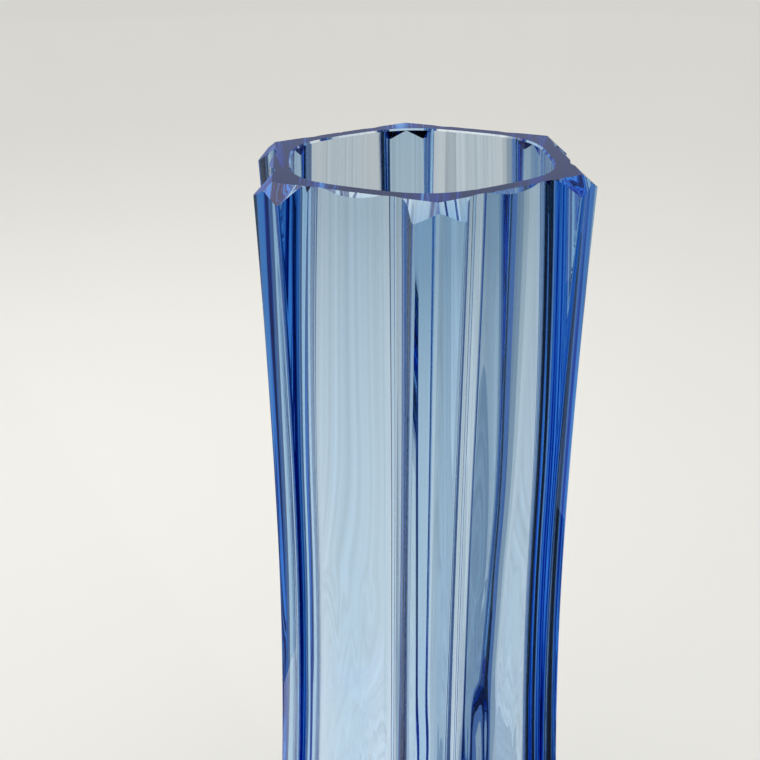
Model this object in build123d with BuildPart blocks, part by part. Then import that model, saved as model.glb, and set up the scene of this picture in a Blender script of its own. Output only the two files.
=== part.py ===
from build123d import *
import math
import os

# Tall ribbed vase in one piece of thick blue glass. Millimetres, +Z up.
# The origin is the centre of the standing face under the foot.
# At the rim the first rib points along -Y, and the other five follow every 60 degrees.

# Overall
height = 300.0
rib_count = 6
twist = 4.25  # degrees that the ribs turn between the rim and the foot

# Rib faces: their distance from the axis, least at the waist
crest_rim = 47.7
crest_waist = 45.5
crest_foot = 58.0
waist_height = 193.0
rim_flare_power = 2.0
foot_flare_power = 1.9

# Rib cross-section: a block that narrows outwards, with softened corners and wide coves at its feet.
# The ribs stand deepest at the rim.
half_face_rim = 6.4
half_face_foot = 5.0
half_root = 7.7
rib_depth_rim = 9.3
rib_depth = 4.9
rib_deepens = 95.0  # how far below the rim the ribs start to deepen
arris_radius = 1.1
cove_radius = 6.5

# Panels between the ribs: how far their middle stands out from the ribs' roots
panel_bulge = 1.8

# Mouth: a flat hexagon with a ground facet sloping away from each side
mouth_apothem = 39.1
facet_slope = 0.87  # drop for each millimetre outwards

# Cavity: it follows the outside, hollow behind the ribs, and its floor is round
wall_rim = 4.8
wall_thins = 0.4  # wall lost between the rim and the foot, but for the heavy base
wall_foot = 7.0
heavy_base = 0.3  # share of the height over which the wall thickens to the foot
cavity_depth = 282.0
cavity_corner_radius = 14.0
hollow = 0.87
hollow_fades = 70.0
lip_bevel = 0.5

# Foot
foot_bevel = 1.4  # taken off the ribs' lower corners
kick_radius = 33.0
kick_depth = 1.6

section_gaps = 8
cavity_gaps = 7
points_per_lobe = 4
pitch = 360 / rib_count


def crest_at(level):
    """Distance of the rib faces from the axis at a height."""
    if level > waist_height:
        share = (level - waist_height) / (height - waist_height)
        return crest_waist + (crest_rim - crest_waist) * share**rim_flare_power
    share = (waist_height - level) / waist_height
    return crest_waist + (crest_foot - crest_waist) * share**foot_flare_power


def root_at(level):
    """Distance from the axis at which the side walls of the ribs meet the panels."""
    near_rim = max(0, 1 - (height - level) / rib_deepens)
    return crest_at(level) - rib_depth - (rib_depth_rim - rib_depth) * near_rim**2


def cavity_at(level):
    """Mean radius of the cavity."""
    down = (height - level) / height
    heavy = max(0, down - 1 + heavy_base) / heavy_base
    wall = wall_rim - wall_thins * down + (wall_foot + wall_thins - wall_rim) * heavy**2
    return root_at(level) + panel_bulge - wall


def first_rib_at(level):
    """Bearing of the first rib, in degrees."""
    return -90 - twist * (1 - level / height)


def turned(x, y, angle):
    """A point of a section turned about the axis."""
    bearing = math.radians(angle)
    return (
        x * math.cos(bearing) - y * math.sin(bearing),
        x * math.sin(bearing) + y * math.cos(bearing),
    )


def axis_distance(corner):
    """Distance of a section's corner from the vase's axis."""
    return math.hypot(corner.X, corner.Y)


with BuildPart() as vase_body:
    # Outside: one section per level, each turned a little further than the one above
    for step in range(section_gaps + 1):
        level = height * step / section_gaps
        first_rib = first_rib_at(level)
        crest = crest_at(level)
        half_face = half_face_foot + (half_face_rim - half_face_foot) * level / height
        root = root_at(level)
        crown = root + panel_bulge
        with BuildSketch(Plane.XY.offset(level)) as section:
            with BuildLine():
                for rib in range(rib_count):
                    bearing = first_rib + rib * pitch
                    near_root = turned(root, half_root, bearing)
                    far_root = turned(root, -half_root, bearing + pitch)
                    Polyline(
                        turned(root, -half_root, bearing),
                        turned(crest, -half_face, bearing),
                        turned(crest, half_face, bearing),
                        near_root,
                    )
                    ThreePointArc(near_root, turned(crown, 0, bearing + pitch / 2), far_root)
            make_face()
            fillet(section.vertices().sort_by(axis_distance)[2 * rib_count :], arris_radius)
            fillet(section.vertices().sort_by(axis_distance)[: 2 * rib_count], cove_radius)
    loft()

    # Six facets ground round the mouth
    with BuildSketch(Plane((0, 0, height), x_dir=(0, 1, 0), z_dir=(0, 0, -1))):
        RegularPolygon(mouth_apothem, rib_count, major_radius=False)
    extrude(amount=height, taper=-math.degrees(math.atan(1 / facet_slope)), mode=Mode.INTERSECT)

    # Cavity: round where its floor begins to curve, and lobed above that
    floor_level = height - cavity_depth
    corner_level = floor_level + cavity_corner_radius
    corner = cavity_at(corner_level)
    with BuildSketch(Plane.XY.offset(corner_level)):
        Circle(corner)
    for step in range(1, cavity_gaps + 1):
        level = corner_level + (height - corner_level) * step / cavity_gaps
        lobe = hollow * min(1, (level - corner_level) / hollow_fades)
        with BuildSketch(Plane.XY.offset(level)):
            with BuildLine():
                around = []
                for point in range(rib_count * points_per_lobe):
                    angle = point * pitch / points_per_lobe
                    radius = cavity_at(level) + lobe * math.cos(math.radians(rib_count * angle))
                    around.append(turned(radius, 0, first_rib_at(level) + angle))
                Spline(*around, periodic=True)
            make_face()
    loft(mode=Mode.SUBTRACT)

    # Rounded floor of the cavity
    with BuildSketch(Plane.XZ):
        with BuildLine():
            Line((0, corner_level), (0, floor_level))
            Line((0, floor_level), (corner - cavity_corner_radius, floor_level))
            RadiusArc(
                (corner - cavity_corner_radius, floor_level),
                (corner, corner_level),
                -cavity_corner_radius,
            )
            Line((corner, corner_level), (0, corner_level))
        make_face()
    revolve(axis=Axis.Z, mode=Mode.SUBTRACT)

    # Lip: the mouth's edge bevelled all round
    mouth = edges().filter_by(lambda edge: edge.center().Z > height - 0.01)
    mouth = mouth.sort_by(lambda edge: edge.length)[-1]
    chamfer(mouth, lip_bevel)

    # Foot: the ribs' lower corners bevelled off
    with BuildSketch(Plane.XY):
        Circle(crest_foot - foot_bevel)
    extrude(amount=height, taper=-45, mode=Mode.INTERSECT)

    # Shallow hollow under the foot, so that the vase stands on its rim
    kick_sphere = (kick_radius**2 + kick_depth**2) / (2 * kick_depth)
    with Locations((0, 0, kick_depth - kick_sphere)):
        Sphere(kick_sphere, mode=Mode.SUBTRACT)

vase_body.part.label = "vase_body"
os.makedirs("parts", exist_ok=True)
export_step(vase_body.part, "parts/vase_body.step")
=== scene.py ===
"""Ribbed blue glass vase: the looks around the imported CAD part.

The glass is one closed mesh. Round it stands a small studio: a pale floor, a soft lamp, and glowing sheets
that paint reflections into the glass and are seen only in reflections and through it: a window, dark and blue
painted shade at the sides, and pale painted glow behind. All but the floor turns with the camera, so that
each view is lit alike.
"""

import math

import bpy
import numpy as np
from mathutils import Matrix, Vector


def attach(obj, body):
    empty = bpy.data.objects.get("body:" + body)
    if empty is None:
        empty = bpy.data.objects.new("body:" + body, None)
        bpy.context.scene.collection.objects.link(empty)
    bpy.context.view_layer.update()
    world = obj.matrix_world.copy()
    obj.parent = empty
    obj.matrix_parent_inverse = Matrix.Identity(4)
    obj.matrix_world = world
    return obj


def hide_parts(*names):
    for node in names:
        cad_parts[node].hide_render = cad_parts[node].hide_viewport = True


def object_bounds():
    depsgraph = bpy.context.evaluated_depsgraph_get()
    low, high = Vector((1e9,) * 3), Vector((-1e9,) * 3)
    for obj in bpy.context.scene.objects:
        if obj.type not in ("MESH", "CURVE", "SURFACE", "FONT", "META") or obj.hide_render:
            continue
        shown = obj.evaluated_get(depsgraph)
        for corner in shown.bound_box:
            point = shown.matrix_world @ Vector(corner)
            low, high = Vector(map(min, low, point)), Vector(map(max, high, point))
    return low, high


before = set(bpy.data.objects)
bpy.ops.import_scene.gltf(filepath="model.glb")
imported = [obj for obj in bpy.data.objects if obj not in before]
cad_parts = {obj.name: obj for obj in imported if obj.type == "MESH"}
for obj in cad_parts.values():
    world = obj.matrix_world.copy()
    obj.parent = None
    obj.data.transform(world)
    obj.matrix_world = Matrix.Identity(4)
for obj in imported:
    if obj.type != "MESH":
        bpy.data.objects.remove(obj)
cad_low, cad_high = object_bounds()

MM = 0.001

# The vase's driving dimensions, in millimetres, as in the CAD part
HEIGHT = cad_high.z / MM
RIBS = 6
PITCH = math.radians(360 / RIBS)
TWIST = math.radians(4.25)
CREST_RIM, CREST_WAIST, CREST_FOOT, WAIST = 47.7, 45.5, 58.0, 193.0
RIM_FLARE, FOOT_FLARE = 2.0, 1.9
HALF_FACE_RIM, HALF_FACE_FOOT, HALF_ROOT = 6.4, 5.0, 7.7
RIB_DEPTH_RIM, RIB_DEPTH, RIB_DEEPENS = 9.3, 4.9, 95.0
PANEL_BULGE = 1.8
ARRIS, COVE = 1.1, 6.5
MOUTH_APOTHEM, FACET_SLOPE = 39.1, 0.87
WALL_RIM, WALL_THINS, WALL_FOOT, HEAVY_BASE = 4.8, 0.4, 7.0, 0.3
CAVITY_DEPTH, FLOOR_CORNER, LIP = 282.0, 14.0, 0.5
HOLLOW, HOLLOW_ENDS = 0.87, 70.0
FOOT_BEVEL, BEVEL_RISE, KICK_RADIUS, KICK_DEPTH = 1.4, 1.4, 33.0, 1.6

# How finely each half of a rib and panel is divided
HALF_SECTOR = {"face": 6, "arris": 7, "wall": 7, "cove": 8, "panel": 24}
HALF_COLUMNS = sum(HALF_SECTOR.values())
COLUMNS = 2 * RIBS * HALF_COLUMNS

# Rows of the outside: shares of the foot bevel's rise, then the body, then a band below the rim
BEVEL_ROWS = (0.0, 0.3, 0.6, 1.0)
BODY_ROWS = 64
RIM_BAND, RIM_ROWS = 12.0, 6

# Rows of the cavity: its wall, closer together near the rim, its rounded corner, and rings on its floor
CAVITY_ROWS, CLOSER_AT_RIM = 48, 1.4
CORNER_ROWS = 12
FLOOR_RINGS = (10.0, 5.0, 1.5)

# Radii of the rings on the underside, from the standing face in
KICK_RINGS = (KICK_RADIUS, 30.0, 24.0, 18.0, 12.0, 6.0, 1.5)

# The facets' outer edge is found in this many rounds. A column this near the hexagon has no facet.
FACET_ROUNDS, ON_HEXAGON = 8, 1e-4

# Waves in the cavity's wall: how many go round it, depth, lean in radians per millimetre of height, and phase
RIPPLES = (
    (17, 0.05, 0.010, 0.4),
    (31, 0.03, -0.016, 2.1),
    (53, 0.014, 0.022, 4.0),
    (89, 0.006, -0.030, 1.3),
)
# Shallow dents in it: bearing, width in degrees, height, half length, depth
DENTS = (
    (-121, 7, 236, 14, 0.55),
    (57, 9, 200, 24, 0.15),
)
# Small nicks in the rim's ground edges: bearing and width in degrees, depth
NICKS = (
    (-142, 0.9, 0.35),
    (-118, 0.5, 0.2),
    (-73, 0.8, 0.4),
    (-64, 0.4, 0.2),
    (-37, 0.9, 0.45),
    (12, 0.8, 0.3),
    (64, 0.6, 0.3),
    (121, 0.7, 0.35),
    (168, 0.9, 0.4),
    (-162, 0.6, 0.3),
)
LIP_NICKS = 0.6  # the lip's share of their depth

# Glass: the colour that its depth lets through, and how strongly it absorbs the rest, per metre
GLASS_IOR = 1.52
PASSED_COLOUR, ABSORPTION = (0.0, 0.55, 0.95, 1), 53.0

# Floor, in metres: a wide disc a hair below the standing face
FLOOR_RADIUS, FLOOR_SIDES, FLOOR_DROP = 20.0, 96, 0.0002
FLOOR_COLOUR, FLOOR_ROUGHNESS, FLOOR_SHEEN = (0.82, 0.81, 0.78), 0.9, 0.2

# Room: the shade that the camera and the matt floor see. Through the glass, it is pale up to one height above
# the horizon and a dim blue painted shade from another (both are sines). Reflected in the glass, it is that
# painted shade all over.
ROOM_SEEN = (0.83, 0.83, 0.81, 1)
ROOM_PALE, ROOM_DIM = (0.80, 0.80, 0.78, 1), (0.32, 0.375, 0.64, 1)
PALE_TO, DIM_FROM = 0.20, 0.33

# Camera of the reference view: millimetres from the axis and above the rim, then degrees
CAMERA_X, CAMERA_Y, CAMERA_ABOVE_RIM = -29.5, -297.6, 70.7
HEADING, PITCH_DOWN, ROLL = -3.504, 24.504, -0.539
LENS, SENSOR_WIDTH = 53.24, 36
CLIP_START = 0.01  # in metres

# Sheets of painted shade and light, in metres: they begin clear of the foot and lie just above the floor. A
# shade sheet then rises at the tent's radius, and a glowing sheet runs on.
CLEAR, LIFT = 0.062, 0.0005
TENT_RADIUS, TENT_HEIGHT = 0.6, 0.45
GLOW_SHEET_REACH = 3.0
SHADE_SHEET_PROFILE = ((CLEAR, LIFT), (TENT_RADIUS, LIFT), (TENT_RADIUS, TENT_HEIGHT))
GLOW_SHEET_PROFILE = ((CLEAR, LIFT), (GLOW_SHEET_REACH, LIFT))
SHEET_STEPS = 24

# Sheets of painted shade, dark, blue and grey, which the glass shows in its sides: name, the bearings between
# which each stands, and its material's name and shade. Seen from above, bearings run in degrees from the
# camera's right hand (0) through straight ahead (90) to its left (180).
PAINTED_SHADE_SHEETS = (
    ("painted_shade_right", -105, 40, "painted_shade_dark", (0.012, 0.014, 0.018)),
    ("painted_shade_ahead_right", 40, 58, "painted_shade_blue", (0.11, 0.19, 0.40)),
    ("painted_shade_left", 122, 162, "painted_shade_grey", (0.14, 0.18, 0.28)),
)
# Glowing sheets of painted light, seen only in and through the glass: the same, but with three shades of
# glow, at the vase's foot, at the middle distance, and from one metre on, brightest near the foot
GLOW_SHEETS = (
    ("glow_sheet_right", 58, 72, "painted_glow_grey", (0.52, 0.57, 0.62), (0.38, 0.43, 0.48), (0.28, 0.33, 0.38)),
    ("glow_sheet_middle", 72, 82, "painted_glow_middle", (0.88, 0.85, 0.82), (0.70, 0.69, 0.67), (0.46, 0.47, 0.46)),
    ("paper", 82, 122, "painted_glow_pale", (1.15, 1.08, 1.01), (0.94, 0.89, 0.83), (0.60, 0.59, 0.565)),
)
MIDDLE_DISTANCE = 0.2  # in metres

# Faint radial streaks painted into the glowing sheets' glow, which show in the glass: where their noise runs
# from its low to its high value, the glow goes from this share below the plain one to as much above it
STREAK_SCALE, STREAK_DETAIL = 70.0, 2.0
STREAK_LOW, STREAK_HIGH, STREAK_SHARE = 0.3, 0.7, 0.12

# Window, a glowing sheet and no lamp, seen only in reflections and through the glass as a painted reflection,
# in metres:
# x and height of its lower and upper edges, and half its length
WINDOW_LOW, WINDOW_HIGH, WINDOW_HALF = (-0.55, 0.75), (-0.30, 1.15), 0.35
WINDOW_COLOUR, WINDOW_STRENGTH = (1.0, 0.98, 0.95), 2.4

# Lamp, in metres and watts
LAMP_PLACE, LAMP_AIM = Vector((-0.3, 0.35, 0.9)), Vector((-0.05, 0.1, 0))
LAMP_SIZE, LAMP_POWER = 0.5, 2.4

# Limits on how often light may bounce: the higher one in all and through the glass, the lower one otherwise
MORE_BOUNCES, FEWER_BOUNCES = 32, 16


def lerp(a, b, t):
    return a + (b - a) * t


def link(thing):
    """Puts an object in the scene."""
    bpy.context.scene.collection.objects.link(thing)
    return thing


def crest_at(z):
    """Distance of the rib faces from the axis."""
    above = np.clip((z - WAIST) / (HEIGHT - WAIST), 0, None)
    below = np.clip((WAIST - z) / WAIST, 0, None)
    flare = (CREST_RIM - CREST_WAIST) * above**RIM_FLARE + (CREST_FOOT - CREST_WAIST) * below**FOOT_FLARE
    return CREST_WAIST + flare


def root_at(z):
    """Distance from the axis at which the side walls of the ribs meet the panels."""
    near_rim = np.clip(1 - (HEIGHT - z) / RIB_DEEPENS, 0, None)
    return crest_at(z) - RIB_DEPTH - (RIB_DEPTH_RIM - RIB_DEPTH) * near_rim**2


def cavity_at(z):
    """Mean radius of the cavity."""
    down = (HEIGHT - z) / HEIGHT
    heavy = np.clip(down - 1 + HEAVY_BASE, 0, None) / HEAVY_BASE
    wall = WALL_RIM - WALL_THINS * down + (WALL_FOOT + WALL_THINS - WALL_RIM) * heavy**2
    return root_at(z) + PANEL_BULGE - wall


def hollow_at(z):
    """How far the cavity swells out behind each rib, and in behind each panel. It is round near its floor."""
    return HOLLOW * np.clip((z - HEIGHT + CAVITY_DEPTH - FLOOR_CORNER) / HOLLOW_ENDS, 0, 1)


def panel_arc(root):
    """Centre and radius of the arc that a panel makes through both roots and its crown."""
    crown = root + PANEL_BULGE
    middle = PITCH / 2
    root_along = root * math.cos(middle) + HALF_ROOT * math.sin(middle)
    root_across = root * math.sin(middle) - HALF_ROOT * math.cos(middle)
    rise = crown - root_along
    radius = (rise**2 + root_across**2) / (2 * rise)
    return (crown - radius) * math.cos(middle), (crown - radius) * math.sin(middle), radius


def straight(start_x, start_y, end_x, end_y, count):
    """Points along a straight stretch, but for its end."""
    return [(lerp(start_x, end_x, t), lerp(start_y, end_y, t)) for t in np.arange(count) / count]


def arc(x, y, radius, start, end, count, with_end=False):
    """Points along an arc from one bearing to another, but for its end unless that is asked for."""
    bearings = [lerp(start, end, t) for t in np.arange(count + with_end) / count]
    return [(x + radius * np.cos(bearing), y + radius * np.sin(bearing)) for bearing in bearings]


def half_sector(z):
    """Points from the middle of a rib to the middle of the next panel, for an array of heights.

    Returns x (radial through the rib) and y (lateral), each with one row per column of the half sector.
    """
    crest = crest_at(z)
    half_face = lerp(HALF_FACE_FOOT, HALF_FACE_RIM, z / HEIGHT)
    root = root_at(z)
    panel_x, panel_y, panel_radius = panel_arc(root)

    # Side wall, and the direction out of the rib square to it
    wall_x, wall_y = crest - root, half_face - HALF_ROOT
    wall_length = np.hypot(wall_x, wall_y)
    along_x, along_y = wall_x / wall_length, wall_y / wall_length
    out_x, out_y = -along_y, along_x

    # Softened corner between the rib's face and its side wall
    corner_x = crest - ARRIS
    corner_y = half_face - ARRIS * (1 - out_x) / out_y

    # Cove between the side wall and the panel: its circle slides along the wall until it touches the panel's
    from_x = root + COVE * out_x - panel_x
    from_y = HALF_ROOT + COVE * out_y - panel_y
    ahead = from_x * along_x + from_y * along_y
    beyond = from_x**2 + from_y**2 - (panel_radius + COVE) ** 2
    slide = -ahead + np.sqrt(ahead**2 - beyond)
    cove_x = panel_x + from_x + slide * along_x
    cove_y = panel_y + from_y + slide * along_y

    wall_bearing = np.arctan2(out_y, out_x)
    panel_bearing = np.arctan2(cove_y - panel_y, cove_x - panel_x)
    points = straight(crest, 0 * z, crest, corner_y, HALF_SECTOR["face"])
    points += arc(corner_x, corner_y, ARRIS, 0 * z, wall_bearing, HALF_SECTOR["arris"])
    points += straight(
        corner_x + ARRIS * out_x,
        corner_y + ARRIS * out_y,
        cove_x - COVE * out_x,
        cove_y - COVE * out_y,
        HALF_SECTOR["wall"],
    )
    points += arc(cove_x, cove_y, COVE, wall_bearing - math.pi, panel_bearing - math.pi, HALF_SECTOR["cove"])
    middle = 0 * z + PITCH / 2
    points += arc(panel_x, panel_y, panel_radius, panel_bearing, middle, HALF_SECTOR["panel"], with_end=True)
    return np.array(points).swapaxes(0, 1)


def outline(z):
    """The outside of the vase: x and y for each column. z is one height, or one height per column."""
    sector = 2 * HALF_COLUMNS
    z = np.broadcast_to(np.asarray(z, float), (COLUMNS,))
    grid_x, grid_y = half_sector(z)
    index = np.arange(COLUMNS)
    place = index % sector
    rib = index // sector
    mirrored = place > HALF_COLUMNS
    source = np.where(mirrored, sector - place, place)
    x, y = grid_x[source, index], grid_y[source, index]
    bearing = np.where(mirrored, PITCH, 0)
    y = np.where(mirrored, -y, y)
    turn = bearing + rib * PITCH - math.pi / 2 - TWIST * (1 - z / HEIGHT)
    return x * np.cos(turn) - y * np.sin(turn), x * np.sin(turn) + y * np.cos(turn)


def even_bearings():
    """A bearing for each column, evenly spaced from the first rib."""
    return -math.pi / 2 + 2 * math.pi * np.arange(COLUMNS) / COLUMNS


def hexagon_distance(x, y):
    """How far out a point is, measured square to the nearest side of the mouth's hexagon."""
    sides = -math.pi / 2 + PITCH * (np.arange(RIBS) + 0.5)
    return np.max([x * math.cos(a) + y * math.sin(a) for a in sides], axis=0)


def degrees_from(middle, bearing):
    """How far a bearing in radians is from one in degrees, between -180 and 180 degrees."""
    return (np.degrees(bearing) - middle + 180) % 360 - 180


def ripple(bearing, z):
    """Faint waves and dents in the cavity's wall, in millimetres."""
    waves = 0.0
    for count, depth, lean, start in RIPPLES:
        waves = waves + depth * np.sin(count * bearing + lean * z + start)
    for middle, width, level, length, depth in DENTS:
        away = degrees_from(middle, bearing)
        waves = waves + depth * np.exp(-((away / width) ** 2) - ((z - level) / length) ** 2)
    return waves


def nicks(bearing):
    """How deep the ground edges of the rim are nicked, in millimetres."""
    depth = 0.0
    for middle, width, deepest in NICKS:
        depth = depth + deepest * np.exp(-((degrees_from(middle, bearing) / width) ** 2))
    return depth


class Skin:
    """The glass's surface: loops of one point per column, and the faces between them."""

    def __init__(self):
        self.verts = []
        self.faces = []
        self.sharp = set()

    def point(self, x, y, z):
        self.verts.append((x, y, z))
        return len(self.verts) - 1

    def loop(self, x, y, z):
        """A loop at one height, or at one height per column."""
        return [self.point(*place) for place in zip(x, y, np.broadcast_to(z, np.shape(x)))]

    def bridge(self, lower, upper):
        """Faces between two loops. Where they share a point, a face has fewer corners or is left out."""
        for i in range(COLUMNS):
            j = (i + 1) % COLUMNS
            corners = [lower[i], lower[j], upper[j], upper[i]]
            kept = [c for k, c in enumerate(corners) if c not in corners[:k]]
            if len(kept) > 2:
                self.faces.append(kept)

    def close(self, loop, centre, upward):
        """Triangles between a loop and one point inside it, facing up or down."""
        for i in range(COLUMNS):
            a, b = loop[i], loop[(i + 1) % COLUMNS]
            self.faces.append([a, b, centre] if upward else [b, a, centre])

    def crease(self, a, b):
        """Keeps the edge between two points crisp."""
        if a != b:
            self.sharp.add((min(a, b), max(a, b)))

    def crease_loop(self, loop):
        for i in range(COLUMNS):
            self.crease(loop[i], loop[(i + 1) % COLUMNS])

    def mesh(self, name):
        """The surface as a smooth-shaded mesh in metres, with its creases."""
        mesh = bpy.data.meshes.new(name)
        mesh.from_pydata([(x * MM, y * MM, z * MM) for x, y, z in self.verts], [], self.faces)
        mesh.validate()
        mesh.update()
        mesh.polygons.foreach_set("use_smooth", np.ones(len(mesh.polygons), bool))
        ends = np.zeros(len(mesh.edges) * 2, np.int32)
        mesh.edges.foreach_get("vertices", ends)
        is_sharp = np.array([(min(a, b), max(a, b)) in self.sharp for a, b in ends.reshape(-1, 2)])
        mesh.attributes.new("sharp_edge", "BOOLEAN", "EDGE").data.foreach_set("value", is_sharp)
        return mesh


def facet_heights():
    """The height at which each column meets its facet or, where it has none, the flat top."""
    top = np.full(COLUMNS, HEIGHT)
    for _ in range(FACET_ROUNDS):
        x, y = outline(top)
        top = HEIGHT - FACET_SLOPE * np.clip(hexagon_distance(x, y) - MOUTH_APOTHEM, 0, None)
    return top


def add_outside(skin, top):
    """The outside, from the foot up. Returns its lowest and highest loops."""
    loops = []
    for share in BEVEL_ROWS:
        rise = share * BEVEL_RISE
        x, y = outline(rise)
        inset = FOOT_BEVEL * (1 - rise / BEVEL_RISE) ** 2
        scale = 1 - inset / np.hypot(x, y)
        loops.append(skin.loop(x * scale, y * scale, rise))
    body_top = HEIGHT - RIM_BAND
    for row in range(1, BODY_ROWS + 1):
        z = lerp(BEVEL_RISE, body_top, row / BODY_ROWS)
        x, y = outline(z)
        loops.append(skin.loop(x, y, z))
    for row in range(1, RIM_ROWS + 1):
        z = lerp(body_top, top, row / RIM_ROWS)
        x, y = outline(z)
        loops.append(skin.loop(x, y, z))
    for lower, upper in zip(loops, loops[1:]):
        skin.bridge(lower, upper)
    return loops[0], loops[-1]


def add_facets(skin, top, edge):
    """The ground facets, from the outside's upper edge in to the hexagon. Returns the flat top's edge."""
    x, y = outline(top)
    distance = hexagon_distance(x, y)
    cut = distance > MOUTH_APOTHEM + ON_HEXAGON
    nicked = 1 - nicks(np.arctan2(y, x)) / MOUTH_APOTHEM
    shrink = np.where(cut, MOUTH_APOTHEM / distance * nicked, 1)
    flat_x, flat_y = x * shrink, y * shrink
    rib_middles = range(0, COLUMNS, 2 * HALF_COLUMNS)
    vertex = MOUTH_APOTHEM / math.cos(PITCH / 2)
    for rib, middle in enumerate(rib_middles):
        bearing = -math.pi / 2 + rib * PITCH
        flat_x[middle], flat_y[middle] = vertex * math.cos(bearing), vertex * math.sin(bearing)
    flat = []
    for i in range(COLUMNS):
        flat.append(skin.point(flat_x[i], flat_y[i], HEIGHT) if cut[i] else edge[i])
    skin.bridge(edge, flat)
    skin.crease_loop(edge)
    skin.crease_loop(flat)
    for middle in rib_middles:
        skin.crease(edge[middle], flat[middle])
    return flat


def cavity_profile(floor_z, corner_z, corner_r):
    """Mean radius and height of each of the cavity's loops, from the lip down."""
    profile = [(cavity_at(HEIGHT) + LIP, HEIGHT)]
    for row in range(CAVITY_ROWS + 1):
        z = lerp(HEIGHT - LIP, corner_z, (row / CAVITY_ROWS) ** CLOSER_AT_RIM)
        profile.append((cavity_at(z), z))
    for row in range(1, CORNER_ROWS + 1):
        bearing = -math.pi / 2 * row / CORNER_ROWS
        r = corner_r + FLOOR_CORNER * math.cos(bearing)
        profile.append((r, corner_z + FLOOR_CORNER * math.sin(bearing)))
    for r in FLOOR_RINGS:
        profile.append((r, floor_z))
    return profile


def add_cavity(skin, flat):
    """The flat top, the lip, and the lobed cavity down to its floor."""
    floor_z = HEIGHT - CAVITY_DEPTH
    corner_z = floor_z + FLOOR_CORNER
    corner_r = cavity_at(corner_z) - FLOOR_CORNER
    even = even_bearings()
    loops = []
    for r, z in cavity_profile(floor_z, corner_z, corner_r):
        from_rib = even + math.pi / 2 + TWIST * (1 - z / HEIGHT)
        around = r + hollow_at(z) * np.cos(RIBS * from_rib)
        if not loops:
            around = around + LIP_NICKS * nicks(even)
        elif r > corner_r + FLOOR_CORNER / 2:
            around = around + ripple(even, z)
        loops.append(skin.loop(around * np.cos(even), around * np.sin(even), z))
    skin.bridge(flat, loops[0])
    skin.crease_loop(loops[0])
    skin.crease_loop(loops[1])
    for upper, lower in zip(loops, loops[1:]):
        skin.bridge(upper, lower)
    skin.close(loops[-1], skin.point(0, 0, floor_z), upward=True)


def add_underside(skin, foot):
    """The standing face and the shallow hollow inside it."""
    kick_sphere = (KICK_RADIUS**2 + KICK_DEPTH**2) / (2 * KICK_DEPTH)
    even = even_bearings()
    loops = []
    for r in KICK_RINGS:
        z = KICK_DEPTH - kick_sphere + math.sqrt(kick_sphere**2 - r**2)
        loops.append(skin.loop(r * np.cos(even), r * np.sin(even), max(z, 0.0)))
    skin.bridge(loops[0], foot)
    skin.crease_loop(loops[0])
    for outer, closer in zip(loops, loops[1:]):
        skin.bridge(closer, outer)
    skin.close(loops[-1], skin.point(0, 0, KICK_DEPTH), upward=False)


def build_vase():
    """One closed mesh: outside, rim facets, flat top, cavity, foot."""
    skin = Skin()
    top = facet_heights()
    foot, edge = add_outside(skin, top)
    flat = add_facets(skin, top, edge)
    add_cavity(skin, flat)
    add_underside(skin, foot)
    return link(bpy.data.objects.new("vase_glass", skin.mesh("vase_glass")))


def glass_material():
    """Clear glass that is blue all the way through: the deeper the path, the deeper the blue."""
    material = bpy.data.materials.new("blue_glass")
    material.use_nodes = True
    nodes, links = material.node_tree.nodes, material.node_tree.links
    surface = nodes["Principled BSDF"]
    surface.inputs["Base Color"].default_value = (1, 1, 1, 1)
    surface.inputs["Transmission Weight"].default_value = 1
    surface.inputs["IOR"].default_value = GLASS_IOR
    surface.inputs["Roughness"].default_value = 0.0
    absorb = nodes.new("ShaderNodeVolumeAbsorption")
    absorb.inputs["Color"].default_value = PASSED_COLOUR
    absorb.inputs["Density"].default_value = ABSORPTION
    links.new(absorb.outputs["Volume"], nodes["Material Output"].inputs["Volume"])
    return material


def floor_material():
    material = bpy.data.materials.new("pale_floor")
    material.use_nodes = True
    surface = material.node_tree.nodes["Principled BSDF"]
    surface.inputs["Base Color"].default_value = (*FLOOR_COLOUR, 1)
    surface.inputs["Roughness"].default_value = FLOOR_ROUGHNESS
    surface.inputs["Specular IOR Level"].default_value = FLOOR_SHEEN
    return material


def add_floor():
    points = []
    for bearing in np.linspace(0, 2 * math.pi, FLOOR_SIDES, endpoint=False):
        points.append((FLOOR_RADIUS * math.cos(bearing), FLOOR_RADIUS * math.sin(bearing), 0))
    mesh = bpy.data.meshes.new("floor")
    mesh.from_pydata(points, [], [list(range(FLOOR_SIDES))])
    floor = link(bpy.data.objects.new("floor", mesh))
    floor.location.z = -FLOOR_DROP
    floor.data.materials.append(floor_material())


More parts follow.
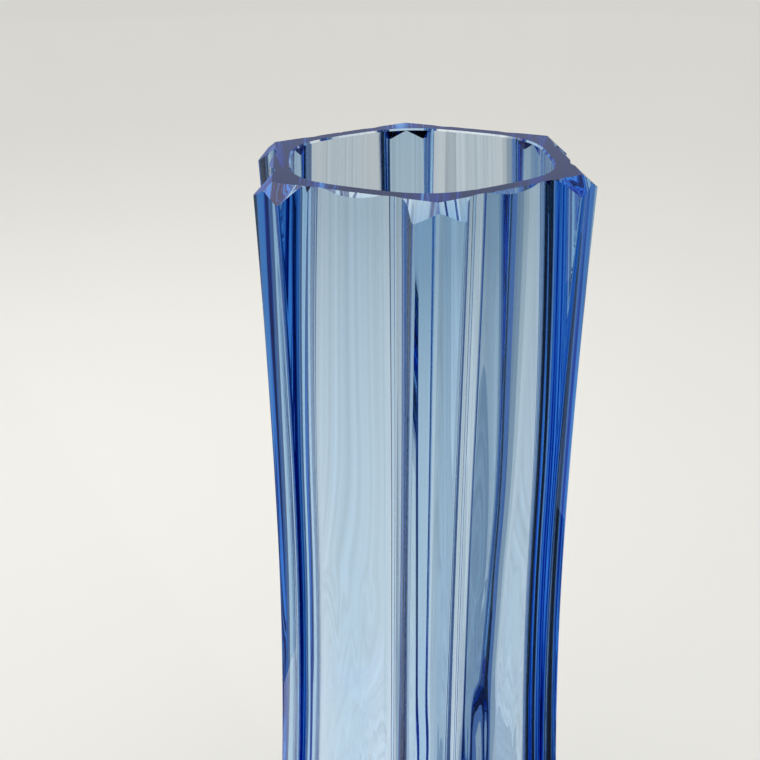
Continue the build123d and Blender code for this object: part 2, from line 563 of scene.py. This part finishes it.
def add_room():
    """The world. It has one shade for the camera and the matt floor, and others for the glass, dimmed to a
    blue painted shade.
    """
    world = bpy.data.worlds.new("studio")
    bpy.context.scene.world = world
    world.use_nodes = True
    nodes, links = world.node_tree.nodes, world.node_tree.links
    path = nodes.new("ShaderNodeLightPath")

    # How dim it is to the glass
    place = nodes.new("ShaderNodeTexCoord")
    upward = nodes.new("ShaderNodeSeparateXYZ")
    dusk = nodes.new("ShaderNodeMapRange")
    dusk.interpolation_type = "SMOOTHSTEP"
    dusk.inputs["From Min"].default_value = PALE_TO
    dusk.inputs["From Max"].default_value = DIM_FROM
    dimmed = nodes.new("ShaderNodeMath")
    dimmed.operation = "MAXIMUM"
    room = nodes.new("ShaderNodeMix")
    room.data_type = "RGBA"
    room.inputs["A"].default_value = ROOM_PALE
    room.inputs["B"].default_value = ROOM_DIM
    links.new(place.outputs["Generated"], upward.inputs["Vector"])
    links.new(upward.outputs["Z"], dusk.inputs["Value"])
    links.new(dusk.outputs["Result"], dimmed.inputs[0])
    links.new(path.outputs["Is Reflection Ray"], dimmed.inputs[1])
    links.new(dimmed.outputs[0], room.inputs["Factor"])

    # Whether it is the glass that sees it
    either = nodes.new("ShaderNodeMath")
    either.operation = "MAXIMUM"
    shade = nodes.new("ShaderNodeMix")
    shade.data_type = "RGBA"
    shade.inputs["A"].default_value = ROOM_SEEN
    links.new(path.outputs["Is Glossy Ray"], either.inputs[0])
    links.new(path.outputs["Is Transmission Ray"], either.inputs[1])
    links.new(either.outputs[0], shade.inputs["Factor"])
    links.new(room.outputs["Result"], shade.inputs["B"])
    links.new(shade.outputs["Result"], nodes["Background"].inputs["Color"])


def add_camera():
    """The reference view: close by, a little above the rim, looking down."""
    camera_data = bpy.data.cameras.new("camera")
    camera_data.lens = LENS
    camera_data.sensor_width = SENSOR_WIDTH
    camera_data.clip_start = CLIP_START
    camera = bpy.data.objects.new("camera", camera_data)
    place = Vector((CAMERA_X, CAMERA_Y, HEIGHT + CAMERA_ABOVE_RIM)) * MM
    turn = (
        Matrix.Rotation(math.radians(HEADING), 4, "Z")
        @ Matrix.Rotation(math.pi / 2 - math.radians(PITCH_DOWN), 4, "X")
        @ Matrix.Rotation(math.radians(ROLL), 4, "Z")
    )
    camera.matrix_world = Matrix.Translation(place) @ turn
    bpy.context.scene.camera = link(camera)
    return camera


def add_turntable(camera):
    """What stands on it turns with the camera. It is at the vase's axis, with its -Y side to the camera."""
    table = link(bpy.data.objects.new("turntable", None))
    facing = table.constraints.new("LOCKED_TRACK")
    facing.target = camera
    facing.lock_axis = "LOCK_Z"
    facing.track_axis = "TRACK_NEGATIVE_Y"
    return table


def plain_emitter(name, colour, strength=1.0):
    material = bpy.data.materials.new(name)
    material.use_nodes = True
    nodes, links = material.node_tree.nodes, material.node_tree.links
    nodes.remove(nodes["Principled BSDF"])
    glow = nodes.new("ShaderNodeEmission")
    glow.inputs["Color"].default_value = (*colour, 1)
    glow.inputs["Strength"].default_value = strength
    links.new(glow.outputs["Emission"], nodes["Material Output"].inputs["Surface"])
    return material


def painted_glow_emitter(name, near_shade, middle_shade, far_shade):
    """A plain emitter whose painted glow changes with the distance from the vase's foot and has faint painted
    streaks.
    """
    material = plain_emitter(name, middle_shade)
    nodes, links = material.node_tree.nodes, material.node_tree.links
    place = nodes.new("ShaderNodeNewGeometry")
    distance = nodes.new("ShaderNodeVectorMath")
    distance.operation = "LENGTH"
    ramp = nodes.new("ShaderNodeValToRGB")
    middle = ramp.color_ramp.elements.new(MIDDLE_DISTANCE)
    middle.color = (*middle_shade, 1)
    ramp.color_ramp.elements[0].color = (*near_shade, 1)
    ramp.color_ramp.elements[-1].color = (*far_shade, 1)
    links.new(place.outputs["Position"], distance.inputs[0])
    links.new(distance.outputs["Value"], ramp.inputs["Fac"])
    links.new(ramp.outputs["Color"], nodes["Emission"].inputs["Color"])

    # Faint radial streaks of painted glow
    direction = nodes.new("ShaderNodeVectorMath")
    direction.operation = "NORMALIZE"
    glow_streaks = nodes.new("ShaderNodeTexNoise")
    glow_streaks.inputs["Scale"].default_value = STREAK_SCALE
    glow_streaks.inputs["Detail"].default_value = STREAK_DETAIL
    strength = nodes.new("ShaderNodeMapRange")
    strength.inputs["From Min"].default_value = STREAK_LOW
    strength.inputs["From Max"].default_value = STREAK_HIGH
    strength.inputs["To Min"].default_value = 1 - STREAK_SHARE
    strength.inputs["To Max"].default_value = 1 + STREAK_SHARE
    links.new(place.outputs["Position"], direction.inputs[0])
    links.new(direction.outputs["Vector"], glow_streaks.inputs["Vector"])
    links.new(glow_streaks.outputs["Fac"], strength.inputs["Value"])
    links.new(strength.outputs["Result"], nodes["Emission"].inputs["Strength"])
    return material


def add_sheet(table, name, points, faces, material):
    """A glowing sheet on the turntable that paints reflections and shade into the glass: the camera sees it
    in and through the glass, but not directly.
    """
    mesh = bpy.data.meshes.new(name)
    mesh.from_pydata(points, [], faces)
    sheet = link(bpy.data.objects.new(name, mesh))
    sheet.data.materials.append(material)
    sheet.parent = table
    sheet.visible_camera = False
    sheet.visible_diffuse = False
    sheet.visible_shadow = False


def add_sector(table, name, start, end, profile, material):
    """A sheet round part of the vase. Its profile is the radius and height of each edge and bend."""
    points, faces = [], []
    for i in range(SHEET_STEPS + 1):
        bearing = math.radians(lerp(start, end, i / SHEET_STEPS))
        x, y = math.cos(bearing), math.sin(bearing)
        for radius, height in profile:
            points.append((x * radius, y * radius, height))
    row = len(profile)
    for i in range(SHEET_STEPS):
        for a in range(i * row, i * row + row - 1):
            faces.append((a, a + 1, a + row + 1, a + row))
    add_sheet(table, name, points, faces, material)


# Dark, blue and grey sheets of painted shade, seen only in and through the glass
def add_painted_shade_sheets(table):
    for name, start, end, material_name, shade in PAINTED_SHADE_SHEETS:
        add_sector(table, name, start, end, SHADE_SHEET_PROFILE, plain_emitter(material_name, shade))


# Pale glowing sheets of painted light, brighter near the vase, seen only in and through the glass
def add_glow_sheets(table):
    for name, start, end, material_name, near_shade, middle_shade, far_shade in GLOW_SHEETS:
        material = painted_glow_emitter(material_name, near_shade, middle_shade, far_shade)
        add_sector(table, name, start, end, GLOW_SHEET_PROFILE, material)


def add_window(table):
    """A long window high on the left: a glowing sheet, not a lamp, that shows in the glass as a painted
    reflection.
    """
    (low_x, low_z), (high_x, high_z) = WINDOW_LOW, WINDOW_HIGH
    points = [
        (low_x, -WINDOW_HALF, low_z),
        (low_x, WINDOW_HALF, low_z),
        (high_x, WINDOW_HALF, high_z),
        (high_x, -WINDOW_HALF, high_z),
    ]
    glow = plain_emitter("window_light", WINDOW_COLOUR, WINDOW_STRENGTH)
    add_sheet(table, "window", points, [(0, 1, 2, 3)], glow)


def add_lamp(table):
    """The soft lamp. It lights the floor, and the glass doesn't show it."""
    lamp_data = bpy.data.lights.new("softbox", "AREA")
    lamp_data.shape = "DISK"
    lamp_data.size = LAMP_SIZE
    lamp_data.energy = LAMP_POWER
    lamp = bpy.data.objects.new("softbox", lamp_data)
    lamp.location = LAMP_PLACE
    lamp.rotation_mode = "QUATERNION"
    lamp.rotation_quaternion = (LAMP_PLACE - LAMP_AIM).to_track_quat("Z", "Y")
    lamp.visible_camera = False
    lamp.visible_glossy = False
    lamp.visible_transmission = False
    link(lamp)
    lamp.parent = table


def set_scene():
    scene = bpy.context.scene
    scene.view_settings.view_transform = "Standard"
    scene.cycles.max_bounces = MORE_BOUNCES
    scene.cycles.transmission_bounces = MORE_BOUNCES
    scene.cycles.glossy_bounces = FEWER_BOUNCES
    scene.cycles.transparent_max_bounces = FEWER_BOUNCES


vase = build_vase()
vase.data.materials.append(glass_material())
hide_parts("vase_body")
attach(vase, "root")

add_floor()
add_room()
turntable = add_turntable(add_camera())
add_painted_shade_sheets(turntable)
add_glow_sheets(turntable)
add_window(turntable)
add_lamp(turntable)
set_scene()
